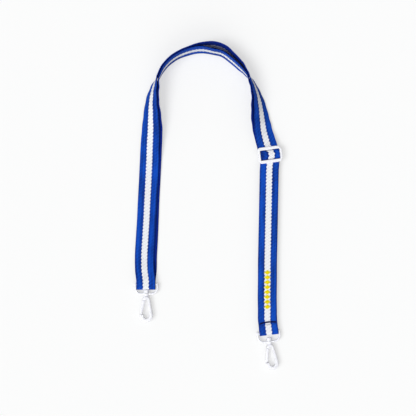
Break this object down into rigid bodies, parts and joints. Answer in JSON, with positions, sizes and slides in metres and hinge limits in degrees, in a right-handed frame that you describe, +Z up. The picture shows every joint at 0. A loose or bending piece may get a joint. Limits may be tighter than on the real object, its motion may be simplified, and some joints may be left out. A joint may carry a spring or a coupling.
{
  "type": "saxophone neck strap",
  "caption": "Adjustable striped webbing neck strap with a plastic slider and a swivelling plastic snap hook at each end, lying flat in a U.",
  "frame": {"origin": "middle of the strap's outline as it lies, on the table", "axes": "+Z up from the table, +Y towards the crown of the neck loop, +X towards the run with the slider"},
  "size_m": [0.1555, 0.3424, 0.0202],
  "materials": {
    "webbing": "matte",
    "white_plastic": "gloss",
    "thread": "matte"
  },
  "bodies": {
    "strap": {"webbing_outer_left": "webbing", "webbing_outer_crown": "webbing", "webbing_outer_right": "webbing", "webbing_inner_left": "webbing", "webbing_inner_crown": "webbing", "webbing_inner_right": "webbing", "webbing_left_fold": "webbing", "webbing_right_fold": "webbing", "webbing_right_tail": "webbing", "hem_stitches_right": "thread"},
    "slider_set": {"slider": "white_plastic", "webbing_slider_loop": "webbing", "webbing_slider_bight": "webbing", "hem_stitches_slider": "thread"},
    "left_yoke_body": {"left_yoke": "white_plastic"},
    "left_hook_body": {"left_hook": "white_plastic"},
    "left_gate_body": {"left_gate": "white_plastic"},
    "right_yoke_body": {"right_yoke": "white_plastic"},
    "right_hook_body": {"right_hook": "white_plastic"},
    "right_gate_body": {"right_gate": "white_plastic"}
  },
  "joints": [
    {"name": "slider_slide", "type": "slide", "parent": "strap", "child": "slider_set", "axis": [-0.0195, -0.9998, 0], "range_m": [0, 0.11]},
    {"name": "left_yoke_swing", "type": "hinge", "parent": "strap", "child": "left_yoke_body", "pos_m": [-0.0647, -0.0818, 0.003], "axis": [1, 0, 0], "range_deg": [-90, 90]},
    {"name": "left_hook_swivel", "type": "hinge", "parent": "left_yoke_body", "child": "left_hook_body", "pos_m": [-0.0647, -0.0936, 0.003], "axis": [0, -1, 0], "continuous": true},
    {"name": "left_gate_press", "type": "hinge", "parent": "left_hook_body", "child": "left_gate_body", "pos_m": [-0.0677, -0.0992, 0.003], "axis": [0, 0, 1], "range_deg": [0, 15], "stiffness_Nm_per_rad": 0.2},
    {"name": "right_yoke_swing", "type": "hinge", "parent": "strap", "child": "right_yoke_body", "pos_m": [0.06327, -0.13208, 0.003], "axis": [0.9925, 0.1219, 0], "range_deg": [-90, 90]},
    {"name": "right_hook_swivel", "type": "hinge", "parent": "right_yoke_body", "child": "right_hook_body", "pos_m": [0.0647, -0.14379, 0.003], "axis": [0.1219, -0.9925, 0], "continuous": true},
    {"name": "right_gate_press", "type": "hinge", "parent": "right_hook_body", "child": "right_gate_body", "pos_m": [0.06241, -0.14971, 0.003], "axis": [0, 0, 1], "range_deg": [0, 15], "stiffness_Nm_per_rad": 0.2}
  ]
}
